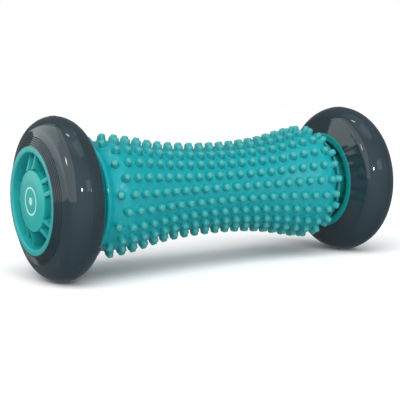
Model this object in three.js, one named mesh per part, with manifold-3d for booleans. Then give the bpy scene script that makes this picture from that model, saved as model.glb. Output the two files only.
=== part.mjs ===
// Foot massage roller: a nubbed massage sleeve on a clamped core, between two spoked wheels that
// turn freely on ball bearings. Millimetres, +Z up. The axle lies along X, the wheels stand on
// Z = 0, and the origin is on the floor below the middle of the roller.

import * as THREE from 'three';
import { mergeGeometries, mergeVertices } from 'three/addons/utils/BufferGeometryUtils.js';
import Module from 'manifold-3d';

const wasm = await Module();
wasm.setup();

// Driving dimensions

const GAP = 0.3; // clearance between pieces that touch or slide

const WHEEL_RADIUS = 36;
const WHEEL_CENTRE = 77.6; // distance of each wheel's middle plane from the roller's middle
const HUB_WIDTH = 23.6;
const TYRE_FACETS = 40;

// Tyre section: straight flanks from the rim, then a superellipse to a narrow flat tread
const FLANK_HALF_WIDTH = 8.5;
const FLANK_RADIUS = 29.8;
const CROWN_EXPONENT = 1.79;
const CROWN_STEPS = 3;
const TREAD_WIDTH = 3;

// Hub
const RIM_OUTER = 23.4;
const RIM_INNER = 20.8;
const KEY_RADIUS = 26.4; // the ridge round the rim that locks the tyre on
const KEY_WIDTH = 8;
const BOSS_OUTER = 13.2;
const SEAT_RADIUS = 11.2;
const SEAT_SHOULDER_RADIUS = 9.6;
const SPOKE_COUNT = 5;
const RIB_THICKNESS = 1.8;
const RIB_OFFSET = 3.1; // from the spoke's centreline to the middle of each of its two ribs
const RIB_DEPTH_AT_BOSS = 0.5; // below the rim's face
const RIB_DEPTH_AT_RIM = 3;
const RIB_DEPTH_INBOARD = 5; // on the side that faces the sleeve
const BOSS_DEPTH = 2.4; // of the boss's end, under the cap
const SPOKE_WEB = 4;
const LEFT_SPOKE_ANGLE = 27; // degrees, of the first spoke from +Y towards +Z
const RIGHT_SPOKE_ANGLE = 14;

// Hub cap
const CAP_PROUD = 0.1;
const CAP_FLAT = 9.3; // radius of its flat middle, inside the gently domed edge
const CAP_DOME = 0.45; // fall from the middle to the edge
const CAP_EDGE = 0.4;
const CAP_WALL = 1.2;
const CAP_SKIRT_INNER = 9;

// Bearings, washer and nut of an 8 mm axle
const AXLE_RADIUS = 3.95;
const AXLE_CHAMFER = 0.8;
const BEARING_OUTER = 10.9;
const BEARING_BORE = AXLE_RADIUS + GAP;
const BEARING_WIDTH = 7;
const BALL_COUNT = 7;
const BALL_RADIUS = 1.7;
const BALL_CIRCLE = 7.5; // radius of the circle through the balls' centres
const TRACK_DEPTH = 0.7; // of the groove that the balls run in, below a race's shoulders
const TRACK_WIDTH = 3.1; // between the shoulders
const TRACK_FLOOR = 1.6; // width of the groove's flat floor
const CAGE_THICKNESS = 1;
const CAGE_BACK = 2.7; // from the balls' centres to the closed side of their cage
const CAGE_FRONT = 0.9; // and to the ends of its prongs, on the open side
const POCKET_RADIUS = 2.15;
const SEAT_SHOULDER_WIDTH = 1.6;
const SPACER_OUTER = 6.2;
const WASHER_OUTER = 8;
const WASHER_THICKNESS = 1;
const NUT_ACROSS_FLATS = 13;
const NUT_THICKNESS = 3.9;

// Massage sleeve: its outline under the nubs, from the first ring of nubs to the last
const SLEEVE_OUTLINE = [
  [-58.5, 23.95], [-56.4, 24.4], [-52, 24.15], [-42, 22.65], [-30, 20.25], [-15, 18.8], [0, 18.35],
  [15, 18.8], [30, 20.3], [42, 22.75], [51, 24.4], [55.2, 24.1], [57.6, 22.5],
];
// its smooth collar at the left, with a rolled lip, and its right edge
const COLLAR_OUTLINE = [
  [-65.3, 23.6], [-64.7, 24.45], [-63.9, 24.55], [-62.8, 24], [-61.6, 23.3], [-60.3, 23.2],
];
const SLEEVE_EDGE = [58.9, 21.4];
const SLEEVE_BORE = 15;
const COLLAR_BORE = 19.8;
const NUB_ROWS = 22;
const NUBS_PER_ROW = 22;
const FIRST_ROW_ANGLE = 5; // degrees above the front, -Y
const NUB_HEIGHT = 3.1;
const NUB_BASE = 2.2; // from its axis to the corners of its square foot
const NUB_TIP = 1.55;
const NUB_ROOT = 1; // how far a nub reaches into the sleeve's wall
const NUB_SIDES = 4;

// Core
const CORE_OUTER = SLEEVE_BORE - GAP;
const CORE_INNER = 12.5;
const CORE_LEFT = -61;
const CORE_RIGHT = 58.9;
const PLUG_SHANK = 11;
const PLUG_WALL = 2.2;
const PLUG_BOSS = 7;
const LEFT_FLANGE_THICKNESS = 2.5;
const RIGHT_FLANGE_RADIUS = 22.6;
const RIGHT_FLANGE_THICKNESS = 1.7;

// Places along the axle, as distances outboard from the middle
const HUB_INBOARD = WHEEL_CENTRE - HUB_WIDTH / 2;
const HUB_OUTBOARD = WHEEL_CENTRE + HUB_WIDTH / 2;
const BOSS_OUTBOARD = HUB_OUTBOARD - BOSS_DEPTH;
const INBOARD_BEARING = HUB_INBOARD + 0.5;
const SHOULDER_START = INBOARD_BEARING + BEARING_WIDTH + GAP;
const OUTBOARD_BEARING = SHOULDER_START + SEAT_SHOULDER_WIDTH + GAP;
const WASHER_START = OUTBOARD_BEARING + BEARING_WIDTH + GAP;
const NUT_START = WASHER_START + WASHER_THICKNESS + GAP;
const AXLE_END = NUT_START + NUT_THICKNESS;
const AXLE_HEIGHT = WHEEL_RADIUS;

const SMALL_SEGMENTS = 12;
const BORE_SEGMENTS = 16;
const RIM_SEGMENTS = 32;
const CAGE_SEGMENTS = 3 * BALL_COUNT;
const BALL_SEGMENTS = 8;
const BALL_RINGS = 6;
const FLAT_TOLERANCE = 0.05; // joined faces this close to flat lose their spare corners

const MATERIALS = {
  tyre: { color: 0x354246, roughness: 0.22, metalness: 0 },
  teal: { color: 0x2da1a1, roughness: 0.45, metalness: 0 },
  hub: { color: 0x4bafaa, roughness: 0.4, metalness: 0 },
  core: { color: 0x1f7f82, roughness: 0.5, metalness: 0 },
  steel: { color: 0xb4b8bb, roughness: 0.3, metalness: 1 },
};

// Helpers

function weld(geometry) {
  const bare = geometry.clone();
  bare.deleteAttribute('normal');
  bare.deleteAttribute('uv');
  return mergeVertices(bare, 1e-4);
}

function toSolid(geometry) {
  const welded = weld(geometry);
  return new wasm.Manifold(new wasm.Mesh({
    numProp: 3,
    vertProperties: new Float32Array(welded.attributes.position.array),
    triVerts: new Uint32Array(welded.index.array),
  }));
}

function toGeometry(solid) {
  const mesh = solid.getMesh();
  const geometry = new THREE.BufferGeometry();
  geometry.setAttribute('position', new THREE.BufferAttribute(mesh.vertProperties, 3));
  geometry.setIndex(new THREE.BufferAttribute(mesh.triVerts, 1));
  geometry.computeVertexNormals();
  return geometry;
}

function join(geometries) {
  const solids = geometries.map(toSolid);
  const whole = solids.reduce((sum, next) => sum.add(next));
  return toGeometry(whole.asOriginal().simplify(FLAT_TOLERANCE));
}

function cut(geometry, tools) {
  const rest = tools.map(toSolid).reduce((solid, tool) => solid.subtract(tool), toSolid(geometry));
  return toGeometry(rest.asOriginal().simplify(FLAT_TOLERANCE));
}

// Turns a profile of [x, radius] points about the X axis. A flat facet faces straight down.
function turned(profile, segments) {
  const points = profile.map(([x, radius]) => new THREE.Vector2(radius, x));
  const geometry = new THREE.LatheGeometry(points, segments, Math.PI / segments);
  return geometry.rotateZ(-Math.PI / 2);
}

// A ring with a rectangular section between two places on the X axis
function ring(start, end, inner, outer, segments) {
  const profile = [[start, inner], [start, outer], [end, outer], [end, inner], [start, inner]];
  return turned(profile, segments);
}

function piece(name, geometry, finish) {
  const mesh = new THREE.Mesh(geometry, new THREE.MeshStandardMaterial(MATERIALS[finish]));
  mesh.name = name;
  return mesh;
}

// Wheel pieces, made with +X outboard and the axle on the X axis

function tyreGeometry() {
  const half = HUB_WIDTH / 2;
  const bore = RIM_OUTER + GAP;
  const groove = KEY_WIDTH / 2 + GAP;
  const side = [[half, bore]];
  for (let i = 0; i < CROWN_STEPS; i += 1) {
    const angle = (i / CROWN_STEPS) * (Math.PI / 2);
    side.push([
      FLANK_HALF_WIDTH * Math.cos(angle) ** (2 / CROWN_EXPONENT),
      FLANK_RADIUS + (WHEEL_RADIUS - FLANK_RADIUS) * Math.sin(angle) ** (2 / CROWN_EXPONENT),
    ]);
  }
  side.push([TREAD_WIDTH / 2, WHEEL_RADIUS]);
  const left = side.map(([x, radius]) => [-x, radius]);
  const bottom = [
    [groove, bore], [groove, KEY_RADIUS + GAP], [-groove, KEY_RADIUS + GAP], [-groove, bore],
  ];
  const profile = [...left, ...side.reverse(), ...bottom, left[0]];
  const geometry = turned(profile, TYRE_FACETS);
  const toFlats = 1 / Math.cos(Math.PI / TYRE_FACETS); // the facets, not the corners, are round
  return weld(geometry.scale(1, toFlats, toFlats).translate(WHEEL_CENTRE, 0, 0));
}

function rimGeometry() {
  const key = KEY_WIDTH / 2;
  return turned([
    [HUB_INBOARD, RIM_INNER], [HUB_INBOARD, RIM_OUTER],
    [WHEEL_CENTRE - key, RIM_OUTER], [WHEEL_CENTRE - key, KEY_RADIUS],
    [WHEEL_CENTRE + key, KEY_RADIUS], [WHEEL_CENTRE + key, RIM_OUTER],
    [HUB_OUTBOARD, RIM_OUTER], [HUB_OUTBOARD, RIM_INNER], [HUB_INBOARD, RIM_INNER],
  ], RIM_SEGMENTS);
}

function bossGeometry() {
  const shoulderEnd = SHOULDER_START + SEAT_SHOULDER_WIDTH;
  return turned([
    [HUB_INBOARD, SEAT_RADIUS], [HUB_INBOARD, BOSS_OUTER],
    [BOSS_OUTBOARD, BOSS_OUTER], [BOSS_OUTBOARD, SEAT_RADIUS],
    [shoulderEnd, SEAT_RADIUS], [shoulderEnd, SEAT_SHOULDER_RADIUS],
    [SHOULDER_START, SEAT_SHOULDER_RADIUS], [SHOULDER_START, SEAT_RADIUS],
    [HUB_INBOARD, SEAT_RADIUS],
  ], BORE_SEGMENTS);
}

// One straight slab of a spoke, drawn in its side view and running outwards along +Y
function spokeSlab(sideView, thickness, offset) {
  const shape = new THREE.Shape(sideView.map(([x, y]) => new THREE.Vector2(x, y)));
  const slab = new THREE.ExtrudeGeometry(shape, { depth: thickness, bevelEnabled: false });
  return slab.translate(WHEEL_CENTRE, 0, offset - thickness / 2);
}

function spokeGeometries(angle) {
  const inner = BOSS_OUTER - 0.8;
  const outer = RIM_INNER + 0.8;
  const half = HUB_WIDTH / 2;
  const besideCap = BOSS_OUTER + 0.15; // the ribs' offset makes up the rest of the gap
  const ribView = [
    [RIB_DEPTH_INBOARD - half, inner], [half - BOSS_DEPTH, inner], [half - BOSS_DEPTH, besideCap],
    [half - RIB_DEPTH_AT_BOSS, besideCap], [half - RIB_DEPTH_AT_RIM, outer],
    [RIB_DEPTH_INBOARD - half, outer],
  ];
  const webView = [
    [-SPOKE_WEB / 2, inner], [SPOKE_WEB / 2, inner], [SPOKE_WEB / 2, outer], [-SPOKE_WEB / 2, outer],
  ];
  const slabs = [
    spokeSlab(ribView, RIB_THICKNESS, RIB_OFFSET),
    spokeSlab(ribView, RIB_THICKNESS, -RIB_OFFSET),
    spokeSlab(webView, 2 * RIB_OFFSET, 0),
  ];
  return slabs.map((slab) => slab.rotateX(THREE.MathUtils.degToRad(angle)));
}

function hubGeometry(firstAngle) {
  const pieces = [rimGeometry(), bossGeometry()];
  for (let i = 0; i < SPOKE_COUNT; i += 1) {
    pieces.push(...spokeGeometries(firstAngle + (i * 360) / SPOKE_COUNT));
  }
  return join(pieces);
}

function hubCapGeometry() {
  const back = BOSS_OUTBOARD + GAP;
  const front = HUB_OUTBOARD + CAP_PROUD;
  const skirtOuter = SEAT_RADIUS - GAP;
  const skirtEnd = OUTBOARD_BEARING + BEARING_WIDTH + GAP;
  const edge = front - CAP_DOME;
  return weld(turned([
    [front - CAP_WALL, 0], [front - CAP_WALL, CAP_SKIRT_INNER], [skirtEnd, CAP_SKIRT_INNER],
    [skirtEnd, skirtOuter], [back, skirtOuter], [back, BOSS_OUTER],
    [edge - CAP_EDGE, BOSS_OUTER], [edge, BOSS_OUTER - CAP_EDGE], [front, CAP_FLAT], [front, 0],
  ], BORE_SEGMENTS));
}

function wheelPieces(side, spokeAngle) {
  return [
    piece(`${side}_tyre`, tyreGeometry(), 'tyre'),
    piece(`${side}_hub`, hubGeometry(spokeAngle), 'hub'),
    piece(`${side}_hub_cap`, hubCapGeometry(), 'hub'),
  ];
}

// Bearings, made with +X outboard: the inner races are clamped on the axle, the outer races turn
// with the hub, and the balls roll between them in their cages

// The side of a race that faces the balls, from its inboard end to its outboard end
function trackSide(start, floor, shoulder) {
  const middle = start + BEARING_WIDTH / 2;
  return [
    [start, shoulder], [middle - TRACK_WIDTH / 2, shoulder],
    [middle - TRACK_FLOOR / 2, floor], [middle + TRACK_FLOOR / 2, floor],
    [middle + TRACK_WIDTH / 2, shoulder], [start + BEARING_WIDTH, shoulder],
  ];
}

function innerRaceGeometry(start) {
  const floor = BALL_CIRCLE - BALL_RADIUS - GAP;
  const side = trackSide(start, floor, floor + TRACK_DEPTH);
  const boreStart = [start, BEARING_BORE];
  const boreEnd = [start + BEARING_WIDTH, BEARING_BORE];
  return weld(turned([boreStart, ...side, boreEnd, boreStart], SMALL_SEGMENTS));
}

function outerRaceGeometry(start) {
  const floor = (BALL_CIRCLE + BALL_RADIUS + GAP) / Math.cos(Math.PI / BORE_SEGMENTS);
  const side = trackSide(start, floor, floor - TRACK_DEPTH);
  const outerStart = [start, BEARING_OUTER];
  const outerEnd = [start + BEARING_WIDTH, BEARING_OUTER];
  return weld(turned([outerStart, outerEnd, ...side.reverse(), outerStart], BORE_SEGMENTS));
}

function ballGeometry(middle, angle) {
  const ball = new THREE.SphereGeometry(BALL_RADIUS, BALL_SEGMENTS, BALL_RINGS);
  return weld(ball.translate(middle, BALL_CIRCLE, 0).rotateX(angle));
}

// A ring with an open-sided pocket for each ball
function cageGeometry(middle, ballAngles) {
  const inner = BALL_CIRCLE - CAGE_THICKNESS / 2;
  const outer = BALL_CIRCLE + CAGE_THICKNESS / 2;
  const band = ring(middle - CAGE_BACK, middle + CAGE_FRONT, inner, outer, CAGE_SEGMENTS);
  const pockets = ballAngles.map((angle) => {
    const drill = new THREE.CylinderGeometry(
      POCKET_RADIUS, POCKET_RADIUS, 4 * CAGE_THICKNESS, BALL_SEGMENTS,
    );
    return drill.translate(middle, BALL_CIRCLE, 0).rotateX(angle);
  });
  return cut(band, pockets);
}

function bearingPieces(name, start) {
  const middle = start + BEARING_WIDTH / 2;
  const ballAngles = [];
  for (let i = 0; i < BALL_COUNT; i += 1) ballAngles.push((i / BALL_COUNT) * 2 * Math.PI);
  return [
    piece(`${name}_inner_race`, innerRaceGeometry(start), 'steel'),
    piece(`${name}_outer_race`, outerRaceGeometry(start), 'steel'),
    piece(`${name}_ball_cage`, cageGeometry(middle, ballAngles), 'steel'),
    ...ballAngles.map((angle, i) => (
      piece(`${name}_ball_${i + 1}`, ballGeometry(middle, angle), 'steel')
    )),
  ];
}

// Pieces clamped on the axle at one end, made with +X outboard

function nutGeometry() {
  const hexagon = new THREE.Shape();
  const corner = NUT_ACROSS_FLATS / 2 / Math.cos(Math.PI / 6);
  for (let i = 0; i < 6; i += 1) {
    const angle = (i * Math.PI) / 3;
    const point = [corner * Math.cos(angle), corner * Math.sin(angle)];
    if (i === 0) hexagon.moveTo(...point);
    else hexagon.lineTo(...point);
  }
  hexagon.holes.push(new THREE.Path().absarc(0, 0, BEARING_BORE, 0, 2 * Math.PI, true));
  const nut = new THREE.ExtrudeGeometry(hexagon, {
    depth: NUT_THICKNESS, bevelEnabled: false, curveSegments: SMALL_SEGMENTS,
  });
  return weld(nut.rotateY(Math.PI / 2).translate(NUT_START, 0, 0));
}

function clampedPieces(side, plugFace) {
  const boreRing = (start, length, outer) => (
    weld(ring(start, start + length, BEARING_BORE, outer, SMALL_SEGMENTS))
  );
  const spacerStart = plugFace + GAP;
  return [
    piece(
      `${side}_inner_spacer`,
      boreRing(spacerStart, INBOARD_BEARING - GAP - spacerStart, SPACER_OUTER), 'steel',
    ),
    piece(
      `${side}_bearing_spacer`,
      boreRing(SHOULDER_START, SEAT_SHOULDER_WIDTH, SPACER_OUTER), 'steel',
    ),
    piece(`${side}_washer`, boreRing(WASHER_START, WASHER_THICKNESS, WASHER_OUTER), 'steel'),
    piece(`${side}_axle_nut`, nutGeometry(), 'steel'),
  ];
}

// Sleeve and core

function nubGeometry(outline, fraction, rowAngle) {
  const foot = outline.getPointAt(fraction);
  const along = outline.getTangentAt(fraction);
  const height = NUB_HEIGHT + NUB_ROOT;
  const nub = new THREE.CylinderGeometry(
    NUB_TIP, NUB_BASE, height, NUB_SIDES, 1, false, Math.PI / NUB_SIDES,
  );
  nub.translate(0, height / 2 - NUB_ROOT, 0);
  nub.rotateZ(Math.atan2(along.y, along.x));
  nub.translate(foot.x, foot.y, 0);
  return nub.rotateX(rowAngle);
}

// Rows of nubs, each row half a pitch along from the last
function nubGeometries(outline) {
  const steps = 2 * (NUBS_PER_ROW - 1);
  const nubs = [];
  for (let row = 0; row < NUB_ROWS; row += 1) {
    const aboveFront = THREE.MathUtils.degToRad(FIRST_ROW_ANGLE) + (row / NUB_ROWS) * 2 * Math.PI;
    for (let step = row % 2; step <= steps; step += 2) {
      nubs.push(nubGeometry(outline, step / steps, Math.PI - aboveFront));
    }
  }
  return nubs;
}

function sleeveGeometry() {
  const outline = new THREE.SplineCurve(SLEEVE_OUTLINE.map(([x, r]) => new THREE.Vector2(x, r)));
  const left = COLLAR_OUTLINE[0][0];
  const outer = [...COLLAR_OUTLINE, ...SLEEVE_OUTLINE, SLEEVE_EDGE];
  const body = turned([
    [left, COLLAR_BORE], ...outer, [SLEEVE_EDGE[0], SLEEVE_BORE],
    [CORE_LEFT, SLEEVE_BORE], [CORE_LEFT, COLLAR_BORE], [left, COLLAR_BORE],
  ], NUB_ROWS);
  const toFlats = 1 / Math.cos(Math.PI / NUB_ROWS); // each row of nubs stands on a flat facet
  const firstRow = THREE.MathUtils.degToRad(90 - FIRST_ROW_ANGLE);
  body.scale(1, toFlats, toFlats).rotateX(firstRow);
  return join([body, mergeGeometries(nubGeometries(outline))]);
}

// A cup that closes one end of the core tube and centres the axle, made with +X outboard
function plugGeometry(face, flangeRadius, flangeThickness) {
  const shankOuter = CORE_INNER - GAP;
  const flangeBack = face - flangeThickness;
  const shankEnd = flangeBack - PLUG_SHANK;
  return weld(turned([
    [face, BEARING_BORE], [shankEnd, BEARING_BORE], [shankEnd, PLUG_BOSS],
    [flangeBack, PLUG_BOSS], [flangeBack, shankOuter - PLUG_WALL],
    [shankEnd, shankOuter - PLUG_WALL], [shankEnd, shankOuter], [flangeBack, shankOuter],
    [flangeBack, flangeRadius], [face, flangeRadius], [face, BEARING_BORE],
  ], BORE_SEGMENTS));
}

function axleGeometry() {
  const tip = AXLE_RADIUS - AXLE_CHAMFER;
  return weld(turned([
    [-AXLE_END, 0], [-AXLE_END, tip], [-AXLE_END + AXLE_CHAMFER, AXLE_RADIUS],
    [AXLE_END - AXLE_CHAMFER, AXLE_RADIUS], [AXLE_END, tip], [AXLE_END, 0],
  ], SMALL_SEGMENTS));
}

// Assembly

function endGroup(turnedAbout, pieces) {
  const group = new THREE.Group();
  group.rotation.z = turnedAbout;
  group.add(...pieces);
  return group;
}

const LEFT_PLUG_FACE = -CORE_LEFT + GAP + LEFT_FLANGE_THICKNESS;
const RIGHT_PLUG_FACE = CORE_RIGHT + GAP + RIGHT_FLANGE_THICKNESS;

const roller = new THREE.Group();
roller.position.z = AXLE_HEIGHT;
roller.add(
  piece('massage_sleeve', sleeveGeometry(), 'teal'),
  piece('core_tube', weld(ring(CORE_LEFT, CORE_RIGHT, CORE_INNER, CORE_OUTER, RIM_SEGMENTS)), 'core'),
  piece('axle', axleGeometry(), 'steel'),
  endGroup(Math.PI, [
    piece(
      'left_core_plug',
      plugGeometry(LEFT_PLUG_FACE, COLLAR_BORE - GAP, LEFT_FLANGE_THICKNESS), 'core',
    ),
    ...clampedPieces('left', LEFT_PLUG_FACE),
    ...bearingPieces('left_inboard_bearing', INBOARD_BEARING),
    ...bearingPieces('left_outboard_bearing', OUTBOARD_BEARING),
    ...wheelPieces('left', LEFT_SPOKE_ANGLE),
  ]),
  endGroup(0, [
    piece(
      'right_core_plug',
      plugGeometry(RIGHT_PLUG_FACE, RIGHT_FLANGE_RADIUS, RIGHT_FLANGE_THICKNESS), 'core',
    ),
    ...clampedPieces('right', RIGHT_PLUG_FACE),
    ...bearingPieces('right_inboard_bearing', INBOARD_BEARING),
    ...bearingPieces('right_outboard_bearing', OUTBOARD_BEARING),
    ...wheelPieces('right', RIGHT_SPOKE_ANGLE),
  ]),
);

export default roller;
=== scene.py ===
"""Foot massage roller: the looks of a nubbed sleeve between two wheels, built round the CAD frame.

Shapes are drawn in millimetres. Pieces of a wheel are drawn with +X outboard and the wheel's
centre at the origin, pieces of the core with the roller's middle at the origin, and both are then
put on the axle that the frame gives.
"""

import math
from bisect import bisect_left

import bmesh
import bpy
from mathutils import Matrix, Vector


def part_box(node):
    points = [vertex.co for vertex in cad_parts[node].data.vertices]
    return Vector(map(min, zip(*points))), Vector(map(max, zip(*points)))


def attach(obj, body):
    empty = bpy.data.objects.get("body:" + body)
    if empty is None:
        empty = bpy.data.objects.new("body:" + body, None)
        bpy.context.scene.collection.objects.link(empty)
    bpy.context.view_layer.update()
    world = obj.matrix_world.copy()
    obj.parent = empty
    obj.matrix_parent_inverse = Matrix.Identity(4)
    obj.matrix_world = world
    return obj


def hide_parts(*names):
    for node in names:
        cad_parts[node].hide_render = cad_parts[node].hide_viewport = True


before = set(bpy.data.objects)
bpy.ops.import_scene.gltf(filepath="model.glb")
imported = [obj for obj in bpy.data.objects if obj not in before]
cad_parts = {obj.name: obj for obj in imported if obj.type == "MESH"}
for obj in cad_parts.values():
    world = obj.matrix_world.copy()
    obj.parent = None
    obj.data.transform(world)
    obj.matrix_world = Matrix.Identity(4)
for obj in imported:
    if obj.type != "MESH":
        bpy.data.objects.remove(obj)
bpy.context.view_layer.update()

MM = 0.001
GAP = 0.3  # between pieces that touch
SIDES = {"left": -1, "right": 1}

# Places from the frame, in millimetres


def span(node):
    """A CAD node's lowest and highest corner, in millimetres."""
    low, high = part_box(node)
    return low / MM, high / MM


tyre_low, tyre_high = span("right_tyre")
AXLE_HEIGHT = (tyre_low.z + tyre_high.z) / 2
WHEEL_RADIUS = (tyre_high.z - tyre_low.z) / 2
WHEEL_CENTRE = (tyre_low.x + tyre_high.x) / 2
HUB_HALF = (tyre_high.x - tyre_low.x) / 2
CAP_FACE = span("right_hub_cap")[1].x - WHEEL_CENTRE
BOSS_END = span("right_hub_cap")[0].x
SLEEVE_LEFT = span("massage_sleeve")[0].x

# Wheel sizes
RIM_OUTER = 23.4
RIM_INNER = 20.8
INBOARD_RIM_INNER = 19.8  # at the rim's thicker edge, beside the sleeve
FLANK_HALF_WIDTH = 8.5
FLANK_RADIUS = 29.8
CROWN_EXPONENT = 1.79
SIDE_RINGS = 5  # fine grooves round the outboard flank
FIRST_RING = 0.9  # from the rim's edge
RING_PITCH = 0.86
RING_WIDTH = 0.42
RING_DEPTH = 0.32
MOULD_LINE = 0.1  # height of the fine ridge round the middle of the tread
KEY_HALF_WIDTH = 4
KEY_RADIUS = 26.4
BOSS_RADIUS = 13.2
SEAT_RADIUS = 11.2  # of the bearings' seats in the boss
BEARING_STOP = (-3.8, -2.2)  # the ends of the ridge between the two seats
STOP_RADIUS = 9.6
BOSS_DEPTH = 2.4  # of the boss's end below the rim's face, under the cap
SPOKES = 5
SPOKE_ANGLES = {"left": 27, "right": 14}  # the first spoke, in degrees from +Y towards +Z
SPOKE_SPREAD = (2.9, 3.3)  # from a spoke's middle to its two ribs' middles, at the boss and the rim
RIB_HALF_THICKNESS = 0.85
RIB_DEPTHS = (0.5, 3, 5)  # below the rim's faces: at the boss, at the rim, and on the inboard side
WEB_DEPTHS = (3.8, 5.6, 8)
MARK_RING = (5.4, 6.2)  # radii
MARK_DOT = 1.7

# Bearing and core sizes
BALLS = 7
BALL_CIRCLE = 7.5
TRACK_RADIUS = 2
CAGE_INNER = 7.05
CAGE_OUTER = 7.95
CAGE_BACK = 2.7  # from the cage's closed side to the balls' centres
BEARING_OUTER = 10.9
AXLE_BORE = 4.25
PLUG_BOSS = 7
PLUG_SHANK = 12.2
PLUG_WALL = 2.2
PLUG_FLANGES = {"left": 2.5, "right": 1.7}  # thickness

# Sleeve outline under the nubs, as (x, radius), from the collar's lip to the right end face
COLLAR = [
    (-65.3, 23.2), (-65.05, 24.05), (-64.4, 24.55), (-63.6, 24.5), (-62.6, 23.95),
    (-61.5, 23.35), (-60.4, 23.12), (-59.4, 23.28),
]
NUB_FIELD = [
    (-58.4, 23.4), (-57, 24.34), (-55.8, 24.5), (-54, 24.4), (-52, 24.15), (-42, 22.65),
    (-30, 20.25), (-15, 18.8), (0, 18.35), (15, 18.8), (30, 20.3), (42, 22.75),
    (51, 24.4), (55.2, 24.1), (57.6, 22.5),
]
SLEEVE_RIGHT = 58.9
RIGHT_EDGE = [(58.7, 21.0), (SLEEVE_RIGHT, 19.4), (SLEEVE_RIGHT, 17.4)]
SLEEVE_BORE = 15
COLLAR_BORE = 19.8
CORE_LEFT = -61  # the core tube's end, where the wide bore of the collar starts
NUB_ROWS = 22
NUBS_PER_ROW = 22
FIRST_ROW_ANGLE = math.radians(5)  # above the front, -Y
# One nub from its fillet to its crown, as (radius, height)
NUB_PROFILE = [
    (2.35, 0.0), (2.0, 0.07), (1.83, 0.3), (1.75, 0.75),
    (1.5, 2.2), (1.4, 2.6), (1.15, 2.92), (0.7, 3.08),
]
NUB_HEIGHT = 3.1
CELL_STEPS = 4  # mesh steps along each side of one nub's cell


# Mesh helpers


def make_object(name, vertices, faces, place=None, sharp=40):
    """A mesh object with its normals outward, shaded smooth up to the angle sharp. The place is
    the matrix that takes its vertices to metres in the roller's frame."""
    mesh = bpy.data.meshes.new(name)
    mesh.from_pydata([Vector(v) for v in vertices], [], faces)
    mesh.transform(place or Matrix.Identity(4))
    obj = bpy.data.objects.new(name, mesh)
    bpy.context.collection.objects.link(obj)
    work = bmesh.new()
    work.from_mesh(mesh)
    bmesh.ops.recalc_face_normals(work, faces=work.faces)
    work.to_mesh(mesh)
    work.free()
    shade(mesh, sharp)
    return obj


def shade(mesh, sharp):
    """Smooth shading, with a crease at each edge that turns by more than sharp degrees."""
    mesh.shade_smooth()
    mesh.set_sharp_from_angle(angle=math.radians(sharp))


def on_axle(offset=0.0, turn=0.0):
    """From millimetres about a point on the axle to metres in the roller's frame."""
    scale = Matrix.Scale(MM, 4)
    move = Matrix.Translation((offset * MM, 0, AXLE_HEIGHT * MM))
    return move @ Matrix.Rotation(turn, 4, "Z") @ scale


def core_place(side, offset=0.0):
    """For pieces drawn with +X outboard and the origin on the axle, offset outboard from the
    roller's middle."""
    return on_axle(SIDES[side] * offset, 0 if side == "right" else math.pi)


def wheel_place(side):
    """For pieces drawn about the wheel's centre."""
    return core_place(side, WHEEL_CENTRE)


def rounded(points, steps=3):
    """A profile of (x, r, corner radius) points with its corners rounded off, as (x, r) points."""
    out = []
    count = len(points)
    for i, (x, r, radius) in enumerate(points):
        here = Vector((x, r))
        if not radius:
            out.append((x, r))
            continue
        before = Vector(points[i - 1][:2]) - here
        after = Vector(points[(i + 1) % count][:2]) - here
        cut = min(radius, 0.49 * before.length, 0.49 * after.length)
        start = here + before.normalized() * cut
        end = here + after.normalized() * cut
        for k in range(steps + 1):
            t = k / steps
            point = start * (1 - t) ** 2 + here * 2 * t * (1 - t) + end * t**2
            out.append((point.x, point.y))
    return out


def revolved(profile, segments):
    """Vertices and faces of (x, r) points turned about the X axis. Ends on the axis close there,
    and any other profile closes on itself."""
    vertices, rings = [], []
    for x, r in profile:
        if r < 1e-6:
            rings.append([len(vertices)] * segments)
            vertices.append((x, 0, 0))
            continue
        rings.append([len(vertices) + k for k in range(segments)])
        for k in range(segments):
            angle = 2 * math.pi * (k + 0.5) / segments
            vertices.append((x, r * math.cos(angle), r * math.sin(angle)))
    open_ended = profile[0][1] < 1e-6 and profile[-1][1] < 1e-6
    pairs = list(zip(rings, rings[1:])) + ([] if open_ended else [(rings[-1], rings[0])])
    faces = []
    for low, high in pairs:
        for k in range(segments):
            n = (k + 1) % segments
            corners = [low[k], low[n], high[n], high[k]]
            face = list(dict.fromkeys(corners))
            if len(face) > 2:
                faces.append(face)
    return vertices, faces


def merged(solids):
    """Several (vertices, faces) as one."""
    vertices, faces = [], []
    for solid_vertices, solid_faces in solids:
        faces += [[i + len(vertices) for i in face] for face in solid_faces]
        vertices += solid_vertices
    return vertices, faces


def apply_modifiers(obj):
    """Bakes the modifiers into the mesh."""
    graph = bpy.context.evaluated_depsgraph_get()
    mesh = bpy.data.meshes.new_from_object(obj.evaluated_get(graph))
    old = obj.data
    obj.modifiers.clear()
    obj.data = mesh
    mesh.name = obj.name
    bpy.data.meshes.remove(old)
    shade(mesh, 40)


def bevel(obj, width, angle):
    """Breaks the edges that turn by more than the angle, over a width in millimetres."""
    modifier = obj.modifiers.new("edges", "BEVEL")
    modifier.width = width * MM
    modifier.segments = 2
    modifier.limit_method = "ANGLE"
    modifier.angle_limit = math.radians(angle)
    apply_modifiers(obj)


def dress(obj, body, slot, material, *nodes):
    """Gives a piece its material and its body, and hides the CAD nodes that it stands for. The slot is not
    used.
    """
    obj.data.materials.clear()
    obj.data.materials.append(material)
    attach(obj, body)
    if nodes:
        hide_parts(*nodes)
    return obj


# Materials


def new_material(name, color, roughness, **sockets):
    """A Principled material, and its nodes, links and shader."""
    material = bpy.data.materials.new(name)
    material.use_nodes = True
    nodes, links = material.node_tree.nodes, material.node_tree.links
    shader = nodes["Principled BSDF"]
    shader.inputs["Base Color"].default_value = (*color, 1)
    shader.inputs["Roughness"].default_value = roughness
    for socket, value in sockets.items():
        shader.inputs[socket.replace("_", " ")].default_value = value
    return material, nodes, links, shader


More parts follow.
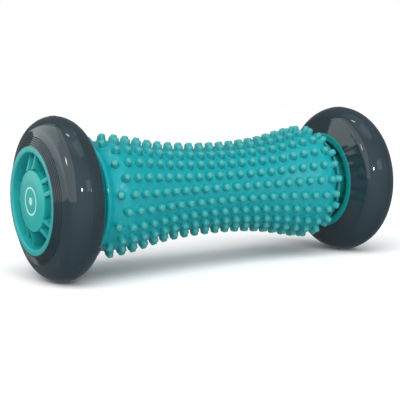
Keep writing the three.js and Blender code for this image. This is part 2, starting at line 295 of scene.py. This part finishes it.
def noise(nodes, links, scale, detail=3.0, rough=0.5, stretch=None):
    """A noise texture fixed to the piece. Scale is in waves per metre."""
    coords = nodes.new("ShaderNodeTexCoord")
    texture = nodes.new("ShaderNodeTexNoise")
    texture.inputs["Scale"].default_value = scale
    texture.inputs["Detail"].default_value = detail
    texture.inputs["Roughness"].default_value = rough
    source = coords.outputs["Object"]
    if stretch:
        mapping = nodes.new("ShaderNodeMapping")
        mapping.inputs["Scale"].default_value = stretch
        links.new(source, mapping.inputs["Vector"])
        source = mapping.outputs["Vector"]
    links.new(source, texture.inputs["Vector"])
    return texture.outputs["Fac"]


def ramp(nodes, links, source, stops):
    """A colour ramp over source. Stops are (position, colour)."""
    node = nodes.new("ShaderNodeValToRGB")
    elements = node.color_ramp.elements
    while len(elements) < len(stops):
        elements.new(0.5)
    for element, (position, color) in zip(elements, stops):
        element.position = position
        element.color = (*color, 1)
    links.new(source, node.inputs["Fac"])
    return node.outputs["Color"]


def mapped(nodes, links, source, low, high):
    """source, from 0 to 1, mapped to run from low to high."""
    node = nodes.new("ShaderNodeMapRange")
    node.inputs["To Min"].default_value = low
    node.inputs["To Max"].default_value = high
    links.new(source, node.inputs["Value"])
    return node.outputs["Result"]


def mixed(nodes, links, factor, first, second, blend="MIX"):
    """Two colour sockets or plain colours, mixed by a socket or a number."""
    node = nodes.new("ShaderNodeMix")
    node.data_type = "RGBA"
    node.blend_type = blend
    for value, socket in ((factor, node.inputs[0]), (first, node.inputs[6]), (second, node.inputs[7])):
        if isinstance(value, bpy.types.NodeSocket):
            links.new(value, socket)
        elif isinstance(value, tuple):
            socket.default_value = (*value, 1)
        else:
            socket.default_value = value
    return node.outputs[2]


def bump(nodes, links, shader, *layers):
    """Bump from (height socket, distance in millimetres) layers, one over another."""
    previous = None
    for height, distance in layers:
        node = nodes.new("ShaderNodeBump")
        node.inputs["Strength"].default_value = 1.0
        node.inputs["Distance"].default_value = distance * MM
        links.new(height, node.inputs["Height"])
        if previous:
            links.new(previous, node.inputs["Normal"])
        previous = node.outputs["Normal"]
    links.new(previous, shader.inputs["Normal"])


def sleeve_material():
    """Soft moulded rubber: satin, more rubbed at the nubs' tips, with painted shade round their feet and
    lighter tips, part wear, part painted light.
    """
    material, nodes, links, shader = new_material("sleeve_rubber", (0.005, 0.31, 0.345), 0.3)
    height = nodes.new("ShaderNodeAttribute")
    height.attribute_name = "nub_height"
    height = height.outputs["Fac"]
    # Colour by nub height: painted shade on the ground and at each nub's foot, lighter tips that are partly
    # wear and partly painted light.
    painted_shade_and_tip_light = ramp(nodes, links, height, [
        (0.0, (0.003, 0.25, 0.274)), (0.06, (0.0025, 0.224, 0.248)),
        (0.35, (0.006, 0.26, 0.278)), (1.0, (0.036, 0.268, 0.262)),
    ])
    mottle = ramp(nodes, links, noise(nodes, links, 60), [(0.35, (0.94, 0.95, 0.95)), (0.7, (1, 1, 1))])
    color = mixed(nodes, links, 1.0, painted_shade_and_tip_light, mottle, "MULTIPLY")
    links.new(color, shader.inputs["Base Color"])
    rubbed = ramp(nodes, links, height, [(0.0, (0.15, 0.15, 0.15)), (0.4, (0.4, 0.4, 0.4))])
    worn = ramp(nodes, links, noise(nodes, links, 240), [
        (0.3, (0.85, 0.85, 0.85)), (0.7, (1.15, 1.15, 1.15)),
    ])
    links.new(mixed(nodes, links, 1.0, rubbed, worn, "MULTIPLY"), shader.inputs["Roughness"])
    bump(nodes, links, shader, (noise(nodes, links, 2600, 2.0), 0.012), (noise(nodes, links, 130), 0.05))
    return material


def tyre_material():
    """Glossy cast polyurethane: dark slate with faint flow marks and fine dust."""
    material, nodes, links, shader = new_material("tyre_polyurethane", (0.022, 0.042, 0.053), 0.08)
    shader.inputs["IOR"].default_value = 1.5
    cloud = noise(nodes, links, 28, 4.0)
    color = ramp(nodes, links, cloud, [(0.3, (0.011, 0.021, 0.027)), (0.7, (0.0155, 0.0285, 0.036))])
    links.new(color, shader.inputs["Base Color"])
    links.new(mapped(nodes, links, noise(nodes, links, 90, 5.0), 0.03, 0.08), shader.inputs["Roughness"])
    flow = noise(nodes, links, 55, 2.0, stretch=(2.2, 0.6, 0.6))
    bump(nodes, links, shader, (flow, 0.05), (noise(nodes, links, 1900, 2.0), 0.004))
    return material


def plastic_material(name, color, light, roughness=0.34):
    """Moulded plastic: fine spark-eroded grain, slight flow variation, handled gloss."""
    material, nodes, links, shader = new_material(name, color, roughness)
    flow = noise(nodes, links, 45, 3.0)
    links.new(ramp(nodes, links, flow, [(0.3, color), (0.75, light)]), shader.inputs["Base Color"])
    handled = mapped(nodes, links, noise(nodes, links, 160, 4.0), roughness - 0.07, roughness + 0.1)
    links.new(handled, shader.inputs["Roughness"])
    bump(nodes, links, shader, (noise(nodes, links, 2200, 2.0), 0.008), (noise(nodes, links, 90), 0.03))
    return material


def steel_material(name, dark, light, low_roughness, high_roughness):
    """Steel with turned grain round the axle and a faint blue-grey bloom."""
    material, nodes, links, shader = new_material(name, light, high_roughness, Metallic=1.0)
    bloom = noise(nodes, links, 140, 4.0)
    links.new(ramp(nodes, links, bloom, [(0.3, dark), (0.7, light)]), shader.inputs["Base Color"])
    links.new(mapped(nodes, links, bloom, low_roughness, high_roughness), shader.inputs["Roughness"])
    bump(nodes, links, shader, (noise(nodes, links, 700, 2.0, stretch=(6, 0.6, 0.6)), 0.01))
    return material


RUBBER = sleeve_material()
POLYURETHANE = tyre_material()
HUB_PLASTIC = plastic_material("hub_plastic", (0.007, 0.25, 0.25), (0.011, 0.275, 0.27))
CAP_PLASTIC = plastic_material("cap_plastic", (0.006, 0.28, 0.262), (0.011, 0.305, 0.288), 0.3)
CORE_PLASTIC = plastic_material("core_plastic", (0.01, 0.17, 0.18), (0.014, 0.2, 0.21), 0.4)
MARK_INK = plastic_material("mark_ink", (0.3, 0.55, 0.5), (0.36, 0.6, 0.55), 0.5)
STEEL = steel_material("zinc_steel", (0.5, 0.51, 0.53), (0.64, 0.64, 0.63), 0.24, 0.42)
BALL_STEEL = steel_material("ball_steel", (0.6, 0.61, 0.62), (0.68, 0.69, 0.7), 0.06, 0.14)


# Sleeve


def smooth_outline(points, steps=12):
    """A uniform Catmull-Rom curve through the points, as a fine polyline of (x, r)."""
    ends = [points[0], *points, points[-1]]
    line = []
    for i in range(1, len(ends) - 2):
        p0, p1, p2, p3 = (Vector(p) for p in ends[i - 1:i + 3])
        v0, v1 = (p2 - p0) / 2, (p3 - p1) / 2
        for k in range(steps):
            t = k / steps
            line.append(
                (2 * p1 - 2 * p2 + v0 + v1) * t**3
                + (-3 * p1 + 3 * p2 - 2 * v0 - v1) * t**2 + v0 * t + p1
            )
    line.append(Vector(points[-1]))
    return line


class Outline:
    """The sleeve's outline by arc length, measured from the first nub."""

    def __init__(self, points, start_x):
        self.line = smooth_outline(points)
        self.arc = [0.0]
        for a, b in zip(self.line, self.line[1:]):
            self.arc.append(self.arc[-1] + (b - a).length)
        start = next(s for p, s in zip(self.line, self.arc) if p.x >= start_x - 1e-6)
        self.arc = [s - start for s in self.arc]

    def at(self, s):
        i = min(max(bisect_left(self.arc, s), 1), len(self.arc) - 1)
        t = (s - self.arc[i - 1]) / (self.arc[i] - self.arc[i - 1])
        return self.line[i - 1].lerp(self.line[i], t)

    def normal(self, s, reach=0.6):
        along = (self.at(s + reach) - self.at(s - reach)).normalized()
        return Vector((-along.y, along.x))

    def arc_at_x(self, x):
        return next(s for p, s in zip(self.line, self.arc) if p.x >= x - 1e-6)


def round_axis(x, r, above_front):
    """The point at x and radius r, at an angle above the front, -Y."""
    return Vector((x, -r * math.cos(above_front), r * math.sin(above_front)))


class SleeveMesh:
    """The nub field is a lattice of cells, one for each nub, staggered by half a cell in every
    other row. All cells share the vertices on their borders."""

    def __init__(self):
        self.outline = Outline([*COLLAR, *NUB_FIELD, *RIGHT_EDGE], NUB_FIELD[0][0])
        self.pitch = self.outline.arc_at_x(NUB_FIELD[-1][0]) / (NUBS_PER_ROW - 1)
        self.row_angle = 2 * math.pi / NUB_ROWS
        self.columns = CELL_STEPS * NUBS_PER_ROW
        self.around = CELL_STEPS * NUB_ROWS
        self.vertices, self.heights, self.faces, self.lattice = [], [], [], {}

    def add(self, point, height=0.0):
        self.vertices.append(point)
        self.heights.append(height)
        return len(self.vertices) - 1

    def surface(self, s, angle):
        point = self.outline.at(s)
        return round_axis(point.x, point.y, angle)

    def column_arc(self, column):
        return (column / CELL_STEPS - 0.5) * self.pitch

    def line_angle(self, line):
        return FIRST_ROW_ANGLE + (line / CELL_STEPS - 0.5) * self.row_angle

    def corner(self, column, line):
        """The lattice vertex at a column along the sleeve and a line round it."""
        key = (column, line % self.around)
        if key not in self.lattice:
            self.lattice[key] = self.add(self.surface(self.column_arc(column), self.line_angle(line)))
        return self.lattice[key]

    def border(self, column, line):
        """The vertices round one cell, from the middle of its right side towards more angle."""
        half, n = CELL_STEPS // 2, CELL_STEPS
        right = [(column + n, line + k) for k in range(half, n)]
        top = [(column + n - k, line + n) for k in range(n)]
        left = [(column, line + n - k) for k in range(n)]
        bottom = [(column + k, line) for k in range(n)]
        rest = [(column + n, line + k) for k in range(half)]
        return [self.corner(*place) for place in right + top + left + bottom + rest]

    def nub(self, column, line):
        """One nub, from the border of its cell in to the tip."""
        middle_arc = self.column_arc(column + CELL_STEPS / 2)
        middle_angle = self.line_angle(line + CELL_STEPS / 2)
        foot, normal = self.outline.at(middle_arc), self.outline.normal(middle_arc)
        axis = round_axis(normal.x, normal.y, middle_angle)
        ring = self.border(column, line)
        count = len(ring)
        for radius, height in NUB_PROFILE:
            inner = []
            for k in range(count):
                turn = 2 * math.pi * k / count
                s = middle_arc + radius * math.cos(turn)
                angle = middle_angle + radius * math.sin(turn) / foot.y
                inner.append(self.add(self.surface(s, angle) + axis * height, height / NUB_HEIGHT))
            self.stitch(ring, inner)
            ring = inner
        tip = self.add(self.surface(middle_arc, middle_angle) + axis * NUB_HEIGHT, 1.0)
        for k in range(count):
            self.faces.append([ring[k], ring[(k + 1) % count], tip])

    def stitch(self, outer, inner):
        """Faces between two rings of vertices."""
        count = len(outer)
        for k in range(count):
            n = (k + 1) % count
            self.faces.append([outer[k], outer[n], inner[n], inner[k]])

    def plain(self, column, line, wide):
        """A stretch of row with no nub."""
        for i in range(wide):
            for j in range(CELL_STEPS):
                a, b = column + i, line + j
                self.faces.append([
                    self.corner(a, b), self.corner(a + 1, b),
                    self.corner(a + 1, b + 1), self.corner(a, b + 1),
                ])

    def field(self):
        """All the rows of nubs, every other one shifted by half a cell."""
        half = CELL_STEPS // 2
        for row in range(NUB_ROWS):
            line = row * CELL_STEPS
            if row % 2 == 0:
                for cell in range(NUBS_PER_ROW):
                    self.nub(cell * CELL_STEPS, line)
                continue
            self.plain(0, line, half)
            for cell in range(NUBS_PER_ROW - 1):
                self.nub(half + cell * CELL_STEPS, line)
            self.plain(self.columns - half, line, half)

    def ring(self, point):
        """A ring of vertices round the axis, in line with the field's."""
        return [self.add(round_axis(*point, self.line_angle(k))) for k in range(self.around)]

    def collar_and_bore(self):
        """From the field's left edge round the lip, through the bore and up the right end."""
        first = self.column_arc(0)
        last = self.column_arc(self.columns)
        left = [p for p, s in zip(self.outline.line, self.outline.arc) if s < first - 0.05]
        right = [p for p, s in zip(self.outline.line, self.outline.arc) if s > last + 0.05]
        bore = [
            (SLEEVE_LEFT, COLLAR_BORE + 0.4), (SLEEVE_LEFT + 0.4, COLLAR_BORE),
            (CORE_LEFT, COLLAR_BORE), (CORE_LEFT, SLEEVE_BORE),
            (NUB_FIELD[-1][0] + 1, SLEEVE_BORE), (SLEEVE_RIGHT, SLEEVE_BORE + 0.3),
        ]
        profile = [*reversed(left), *bore, *reversed(right)]
        ring = [self.corner(0, k) for k in range(self.around)]
        for point in profile:
            following = self.ring(point)
            self.stitch(ring, following)
            ring = following
        self.stitch(ring, [self.corner(self.columns, k) for k in range(self.around)])


def build_sleeve():
    """The sleeve, with each vertex's share of a nub's height for its material."""
    build = SleeveMesh()
    build.field()
    build.collar_and_bore()
    obj = make_object("nubbed_sleeve", build.vertices, build.faces, on_axle(), 50)
    heights = obj.data.attributes.new("nub_height", "FLOAT", "POINT")
    heights.data.foreach_set("value", build.heights)
    return dress(obj, "core", "sleeve", RUBBER, "massage_sleeve")


# Wheels


def tyre_outline(rings):
    """Half of the tyre's section, from the rim's edge to the crown, as (x, r)."""
    inner, outer = Vector((HUB_HALF, RIM_OUTER + 0.05)), Vector((FLANK_HALF_WIDTH, FLANK_RADIUS))
    along = (outer - inner).normalized()
    inward = Vector((-along.y, along.x))
    points = [inner]
    for k in range(rings):
        middle = inner + along * (FIRST_RING + k * RING_PITCH)
        edge = along * RING_WIDTH / 2
        points += [middle - edge, middle + inward * RING_DEPTH, middle + edge]
    crown = WHEEL_RADIUS - MOULD_LINE
    for k in range(21):
        angle = k / 20.5 * math.pi / 2
        points.append(Vector((
            FLANK_HALF_WIDTH * math.cos(angle) ** (2 / CROWN_EXPONENT),
            FLANK_RADIUS + (crown - FLANK_RADIUS) * math.sin(angle) ** (2 / CROWN_EXPONENT),
        )))
    points += [Vector((0.3, crown)), Vector((0.14, WHEEL_RADIUS)), Vector((0, WHEEL_RADIUS))]
    return [(p.x, p.y) for p in points]


def build_tyre(side):
    """The cast tyre, with its fine rings on the outboard side alone."""
    outboard, inboard = tyre_outline(SIDE_RINGS), tyre_outline(0)
    bore = [
        (KEY_HALF_WIDTH + GAP, RIM_OUTER + 0.05), (KEY_HALF_WIDTH + GAP, KEY_RADIUS + GAP),
        (-KEY_HALF_WIDTH - GAP, KEY_RADIUS + GAP), (-KEY_HALF_WIDTH - GAP, RIM_OUTER + 0.05),
    ]
    profile = [*outboard, *[(-x, r) for x, r in reversed(inboard[:-1])], *bore[::-1]]
    obj = make_object(f"{side}_tyre_cast", *revolved(profile, 160), wheel_place(side), 50)
    return dress(obj, f"{side}_wheel", "tyre", POLYURETHANE, f"{side}_tyre")


def rim_profile():
    """The rim, with the key round it that holds the tyre."""
    return rounded([
        (-HUB_HALF, INBOARD_RIM_INNER, 0.5), (-HUB_HALF, RIM_OUTER, 0.25),
        (-KEY_HALF_WIDTH, RIM_OUTER, 0), (-KEY_HALF_WIDTH, KEY_RADIUS, 0.4),
        (KEY_HALF_WIDTH, KEY_RADIUS, 0.4), (KEY_HALF_WIDTH, RIM_OUTER, 0),
        (HUB_HALF, RIM_OUTER, 0.25), (HUB_HALF, RIM_INNER, 0.5),
        (HUB_HALF - 6, RIM_INNER - 0.3, 0), (-HUB_HALF + 6, INBOARD_RIM_INNER - 0.3, 0),
    ])


def boss_profile():
    """The boss, with a bearing's seat each side of the stop between them."""
    end = HUB_HALF - BOSS_DEPTH
    stop_start, stop_end = BEARING_STOP
    return rounded([
        (-HUB_HALF, SEAT_RADIUS, 0.3), (-HUB_HALF, BOSS_RADIUS, 0.4), (end, BOSS_RADIUS, 0.2),
        (end, SEAT_RADIUS, 0.2), (stop_end, SEAT_RADIUS, 0), (stop_end, STOP_RADIUS, 0.2),
        (stop_start, STOP_RADIUS, 0.2), (stop_start, SEAT_RADIUS, 0),
    ])


def prism(outline, low, high):
    """A closed slab: the outline of (x, y) points carried from z = low to z = high, where low and
    high give z at each y."""
    count = len(outline)
    vertices = [(x, y, low(y)) for x, y in outline] + [(x, y, high(y)) for x, y in outline]
    faces = [list(range(count))[::-1], list(range(count, 2 * count))]
    for k in range(count):
        n = (k + 1) % count
        faces.append([k, n, n + count, k + count])
    return vertices, faces


def rib_outline(boss_depth, rim_depth, inboard_depth, steps=6):
    """Side view of a rib or web, as (x, y): dished on the outboard side, straight on the inboard."""
    inner, beside_cap, outer = BOSS_RADIUS - 1, BOSS_RADIUS + 0.15, RIM_INNER + 0.6
    front = []
    for k in range(steps + 1):
        t = k / steps
        depth = boss_depth + (rim_depth - boss_depth) * t + 0.4 * math.sin(math.pi * t)
        front.append((HUB_HALF - depth, beside_cap + (outer - beside_cap) * t))
    under_cap = min(HUB_HALF - BOSS_DEPTH, front[0][0])
    back = inboard_depth - HUB_HALF
    return [(under_cap, inner), (under_cap, beside_cap), *front, (back, outer), (back, inner)]


def spoke_parts():
    """The two ribs and the sunken web of one spoke that runs out along +Y."""
    at_boss, at_rim = SPOKE_SPREAD

    def spread(y):
        return at_boss + (at_rim - at_boss) * (y - BOSS_RADIUS) / (RIM_INNER - BOSS_RADIUS)

    half = RIB_HALF_THICKNESS
    rib, web = rib_outline(*RIB_DEPTHS), rib_outline(*WEB_DEPTHS)
    return [
        prism(rib, lambda y: spread(y) - half, lambda y: spread(y) + half),
        prism(rib, lambda y: -spread(y) - half, lambda y: -spread(y) + half),
        prism(web, lambda y: -spread(y), lambda y: spread(y)),
    ]


def boolean(base, others, operation):
    """Joins the others to base, or cuts them from it, and removes them."""
    for other in others:
        modifier = base.modifiers.new("boolean", "BOOLEAN")
        modifier.operation = operation
        modifier.solver = "EXACT"
        modifier.object = other
    apply_modifiers(base)
    for other in others:
        bpy.data.objects.remove(other)


def joined_solid(name, solids, place):
    """One closed mesh from overlapping closed ones."""
    base, *others = [make_object(f"{name}_{i}", *solid, place) for i, solid in enumerate(solids)]
    boolean(base, others, "UNION")
    base.name = name
    return base


def build_hub(side):
    """Rim, boss and spokes as one moulding."""
    solids = [revolved(rim_profile(), 128), revolved(boss_profile(), 96)]
    first = math.radians(SPOKE_ANGLES[side])
    for i in range(SPOKES):
        turn = Matrix.Rotation(first + 2 * math.pi * i / SPOKES, 4, "X")
        for vertices, faces in spoke_parts():
            solids.append(([turn @ Vector(v) for v in vertices], faces))
    hub = joined_solid(f"{side}_spoked_hub", solids, wheel_place(side))
    bevel(hub, 0.28, 35)
    return dress(hub, f"{side}_wheel", "hub", HUB_PLASTIC, f"{side}_hub")


def build_cap(side):
    """The cap over the nut: a flat middle and a gently domed edge."""
    back = HUB_HALF - BOSS_DEPTH + 0.04
    skirt = SEAT_RADIUS - GAP
    profile = rounded([
        (CAP_FACE - 1.2, 0, 0), (CAP_FACE - 1.2, 9, 0.3), (BOSS_END - WHEEL_CENTRE, 9, 0.2),
        (BOSS_END - WHEEL_CENTRE, skirt, 0.3), (back, skirt, 0), (back, BOSS_RADIUS, 0.1),
        (CAP_FACE - 0.45, BOSS_RADIUS, 0.4), (CAP_FACE, 9.3, 0.8), (CAP_FACE, 0, 0),
    ], 6)
    cap = make_object(f"{side}_cap_moulding", *revolved(profile, 96), wheel_place(side), 50)
    return dress(cap, f"{side}_wheel", "hub_cap", CAP_PLASTIC, f"{side}_hub_cap")


def build_mark(side):
    """A plain printed ring round a dot, as thin ink on the cap's face."""
    low, high = CAP_FACE - 0.02, CAP_FACE + 0.03
    inner, outer = MARK_RING
    ring = [(low, inner), (high, inner), (high, outer), (low, outer)]
    dot = [(low, 0), (low, MARK_DOT), (high, MARK_DOT), (high, 0)]
    vertices, faces = merged([revolved(ring, 64), revolved(dot, 48)])
    mark = make_object(f"{side}_cap_mark", vertices, faces, wheel_place(side))
    return dress(mark, f"{side}_wheel", "hub_cap", MARK_INK)


# Core and hidden fittings


def build_plug(side):
    """The flanged cup that closes the core tube and carries the axle."""
    low, high = span(f"{side}_core_plug")
    start, face = sorted((abs(low.x), abs(high.x)))
    flange = (high.z - low.z) / 2
    back = face - PLUG_FLANGES[side]
    hollow = PLUG_SHANK - PLUG_WALL
    profile = rounded([
        (face, AXLE_BORE, 0.2), (start, AXLE_BORE, 0.2), (start, PLUG_BOSS, 0.4), (back, PLUG_BOSS, 0.4),
        (back, hollow, 0.4), (start, hollow, 0.2), (start, PLUG_SHANK, 0.4), (back, PLUG_SHANK, 0),
        (back, flange, 0.3), (face, flange, 0.6),
    ])
    plug = make_object(f"{side}_plug_moulding", *revolved(profile, 96), core_place(side), 50)
    return dress(plug, "core", "core", CORE_PLASTIC, f"{side}_core_plug")


def build_ring(node, corner):
    """A turned ring that is clamped on the axle, with broken edges."""
    low, high = span(node)
    outer = (high.z - low.z) / 2
    profile = rounded([
        (low.x, AXLE_BORE, corner), (low.x, outer, corner),
        (high.x, outer, corner), (high.x, AXLE_BORE, corner),
    ])
    obj = make_object(f"{node}_turned", *revolved(profile, 64), on_axle(), 50)
    return dress(obj, "core", "steel", STEEL, node)


def track_arc(middle, sign, steps=8):
    """The balls' groove in a race, as (x, r, corner radius) points from inboard to outboard."""
    reach = math.radians(48)
    points = []
    for k in range(steps + 1):
        angle = reach * (2 * k / steps - 1)
        depth = TRACK_RADIUS * math.cos(angle)
        points.append((middle + TRACK_RADIUS * math.sin(angle), BALL_CIRCLE + sign * depth, 0))
    return points


def build_race(node, side, body, wall, sign):
    """A race between its wall radius and its track, which faces the balls on the side of sign."""
    low, high = span(node)
    start, end = sorted((abs(low.x), abs(high.x)))
    track = track_arc((start + end) / 2, sign)
    shoulder = track[0][1]
    profile = rounded([
        (start, wall, 0.3), (start, shoulder, 0.15), *track, (end, shoulder, 0.15), (end, wall, 0.3),
    ])
    obj = make_object(f"{node}_turned", *revolved(profile, 64), core_place(side), 50)
    return dress(obj, body, "steel", STEEL, node)


def build_cage(node, side, body):
    """A pressed crown that holds the balls in open-sided pockets."""
    low, high = span(node)
    start, end = sorted((abs(low.x), abs(high.x)))
    ring = [(start, CAGE_INNER), (start, CAGE_OUTER), (end, CAGE_OUTER), (end, CAGE_INNER)]
    cage = make_object(f"{node}_pressed", *revolved(ring, 112), core_place(side))
    inside, outside, pocket = 6, 9, TRACK_RADIUS + 0.1
    drill = [(inside, 0), (inside, pocket), (outside, pocket), (outside, 0)]
    vertices, faces = revolved(drill, 32)
    outward = Matrix.Translation((start + CAGE_BACK, 0, 0)) @ Matrix.Rotation(math.pi / 2, 4, "Z")
    cutters = []
    for i in range(BALLS):
        place = Matrix.Rotation(2 * math.pi * i / BALLS, 4, "X") @ outward
        drilled = [place @ Vector(v) for v in vertices]
        cutters.append(make_object("drill", drilled, faces, core_place(side)))
    boolean(cage, cutters, "DIFFERENCE")
    bevel(cage, 0.1, 40)
    return dress(cage, body, "cage", STEEL, node)


def build_balls(name, body, nodes):
    """The ground steel balls of one bearing."""
    angles = [math.pi * k / 10 for k in range(11)]
    solids = []
    for node in nodes:
        low, high = span(node)
        centre, radius = (low + high) / 2, (high.x - low.x) / 2
        arc = [(radius * math.cos(a), radius * math.sin(a)) for a in angles]
        vertices, faces = revolved(arc, 20)
        solids.append(([Vector(v) + centre for v in vertices], faces))
    balls = make_object(f"{name}_balls_ground", *merged(solids), Matrix.Scale(MM, 4))
    return dress(balls, body, "ball", BALL_STEEL, *nodes)


def build_fittings(side):
    """What is clamped on the axle between the plug and the nut, and the wheel's two bearings."""
    for name, corner in (("inner_spacer", 0.25), ("bearing_spacer", 0.25), ("washer", 0.1)):
        build_ring(f"{side}_{name}", corner)
    for place in ("inboard", "outboard"):
        name = f"{side}_{place}_bearing"
        body = f"{side}_{place}_balls"
        build_race(f"{name}_inner_race", side, "core", AXLE_BORE, -1)
        build_race(f"{name}_outer_race", side, f"{side}_wheel", BEARING_OUTER, 1)
        build_balls(name, body, [f"{name}_ball_{i + 1}" for i in range(BALLS)])
        build_cage(f"{name}_ball_cage", side, body)


def dress_cad_nodes():
    """The plain CAD pieces that no one sees keep their mesh and take a finish."""
    finishes = {"core_tube": CORE_PLASTIC, "axle": STEEL, "left_axle_nut": STEEL, "right_axle_nut": STEEL}
    for node, material in finishes.items():
        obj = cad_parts[node]
        for slot in obj.material_slots:
            slot.material = material


build_sleeve()
for wheel_side in SIDES:
    build_tyre(wheel_side)
    build_hub(wheel_side)
    build_cap(wheel_side)
    build_mark(wheel_side)
    build_plug(wheel_side)
    build_fittings(wheel_side)
dress_cad_nodes()


# Camera, floor and light


def build_camera():
    """A long lens from the front left, a little above the axle."""
    camera = bpy.data.cameras.new("camera")
    camera.sensor_width = 36
    camera.lens = 96.08
    obj = bpy.data.objects.new("camera", camera)
    heading, pitch, roll = math.radians(31.46), math.radians(-5.505), math.radians(-1.344)
    obj.location = (-0.26378, -0.42272, AXLE_HEIGHT * MM + 0.0424)
    turn = Matrix.Rotation(-heading, 4, "Z") @ Matrix.Rotation(math.pi / 2 + pitch, 4, "X")
    obj.rotation_euler = (turn @ Matrix.Rotation(roll, 4, "Z")).to_euler()
    bpy.context.collection.objects.link(obj)
    bpy.context.scene.camera = obj


def build_floor():
    """A plain pale floor, 12 m across."""
    half = 6
    corners = [(-half, -half, 0), (half, -half, 0), (half, half, 0), (-half, half, 0)]
    floor = make_object("floor", corners, [[0, 1, 2, 3]])
    floor.data.materials.append(new_material("pale_floor", (1.0, 0.985, 0.975), 0.6)[0])
    floor.visible_glossy = False


def area_light(name, place, target, size, radiance, color=(1, 1, 1), diffuse=True, glossy=True):
    """A soft rectangular light, sized in metres, that is as bright to look at as radiance. It
    falls on matt surfaces, shows in glossy ones, or both."""
    light = bpy.data.lights.new(name, "AREA")
    light.shape = "RECTANGLE"
    light.size, light.size_y = size
    light.energy = radiance * math.pi * size[0] * size[1]
    light.color = color
    obj = bpy.data.objects.new(name, light)
    obj.location = place
    obj.rotation_euler = (Vector(target) - Vector(place)).to_track_quat("-Z", "Y").to_euler()
    obj.visible_camera = False
    obj.visible_diffuse = diffuse
    obj.visible_glossy = glossy
    bpy.context.collection.objects.link(obj)


def soft_sun(name, azimuth, elevation, strength, spread):
    """Even, shadowless-edged light over the whole floor, that makes no highlight of its own."""
    light = bpy.data.lights.new(name, "SUN")
    light.energy = strength
    light.angle = math.radians(spread)
    obj = bpy.data.objects.new(name, light)
    obj.rotation_euler = toward(azimuth, elevation, 1).to_track_quat("Z", "Y").to_euler()
    obj.visible_glossy = False
    bpy.context.collection.objects.link(obj)


def toward(azimuth, elevation, distance):
    """A place seen from the roller at an azimuth from +Y towards +X, in degrees and metres."""
    a, e = math.radians(azimuth), math.radians(elevation)
    flat = distance * math.cos(e)
    return Vector((flat * math.sin(a), flat * math.cos(a), distance * math.sin(e) + AXLE_HEIGHT * MM))


def build_lights():
    """The light that falls on the roller, then the parts of the room that only its gloss shows."""
    middle = Vector((0, 0, AXLE_HEIGHT * MM))
    soft_sun("front_fill", -158, 42, 3.4, 70)
    area_light("left_window", toward(-78, 40, 1.5), middle, (2.2, 1.8), 0.4, (1, 0.98, 0.94), glossy=False)
    area_light("front_lamp", (-0.41, -0.83, 0.27), middle, (0.04, 0.055), 150)
    area_light("left_lamp", toward(-94, 30, 0.57), middle, (0.05, 0.07), 16, (1, 0.97, 0.9))
    area_light("ceiling_lamp", toward(-36, 81, 2.0), middle, (0.12, 0.25), 10)
    shown = {
        "left_screen": ((-0.4, -0.111, 0.345), (-0.143, -0.267, 0.345), (0.89, 0.64), 1.05, (1, 0.98, 0.9)),
        "screen_corner": ((-0.23, 0.18, 0.2), (-0.09, 0, 0.08), (0.22, 0.3), 0.6, (0.7, 1, 1)),
        "front_wall": (toward(172, 20, 1.2), middle, (0.5, 0.3), 1.0, (1, 1, 1)),
        "ceiling": (toward(165, 72, 2.0), middle, (0.8, 0.9), 0.5, (1, 1, 1)),
    }
    for name, (place, target, size, radiance, color) in shown.items():
        area_light(name, place, target, size, radiance, color, diffuse=False)


def build_world():
    """Surroundings for the roller to reflect, behind a white backdrop: brighter overhead and
    behind the camera, dimmer on the right."""
    world = bpy.data.worlds.new("studio")
    world.use_nodes = True
    nodes, links = world.node_tree.nodes, world.node_tree.links
    direction = nodes.new("ShaderNodeTexCoord").outputs["Generated"]

    def toward_axis(axis, stops):
        dot = nodes.new("ShaderNodeVectorMath")
        dot.operation = "DOT_PRODUCT"
        dot.inputs[1].default_value = axis
        links.new(direction, dot.inputs[0])
        share = mapped(nodes, links, dot.outputs["Value"], 0, 1)
        share.node.inputs["From Min"].default_value = -1
        return ramp(nodes, links, share, stops)

    across = toward_axis((-0.5, -0.87, 0), [
        (0.0, (0.17, 0.18, 0.19)), (0.5, (0.27, 0.3, 0.32)), (1.0, (0.62, 0.68, 0.72)),
    ])
    height = toward_axis((0, 0, 1), [
        (0.05, (0.65, 0.65, 0.65)), (0.45, (1, 1, 1)), (0.92, (1, 1, 1)), (0.985, (2.2, 2.2, 2.2)),
    ])
    room = mixed(nodes, links, 1.0, across, height, "MULTIPLY")
    seen = nodes.new("ShaderNodeLightPath").outputs["Is Camera Ray"]
    links.new(mixed(nodes, links, seen, room, (1.0, 1.0, 1.0)), nodes["Background"].inputs["Color"])
    bpy.context.scene.world = world
    bpy.context.scene.view_settings.view_transform = "Standard"


build_camera()
build_floor()
build_lights()
build_world()
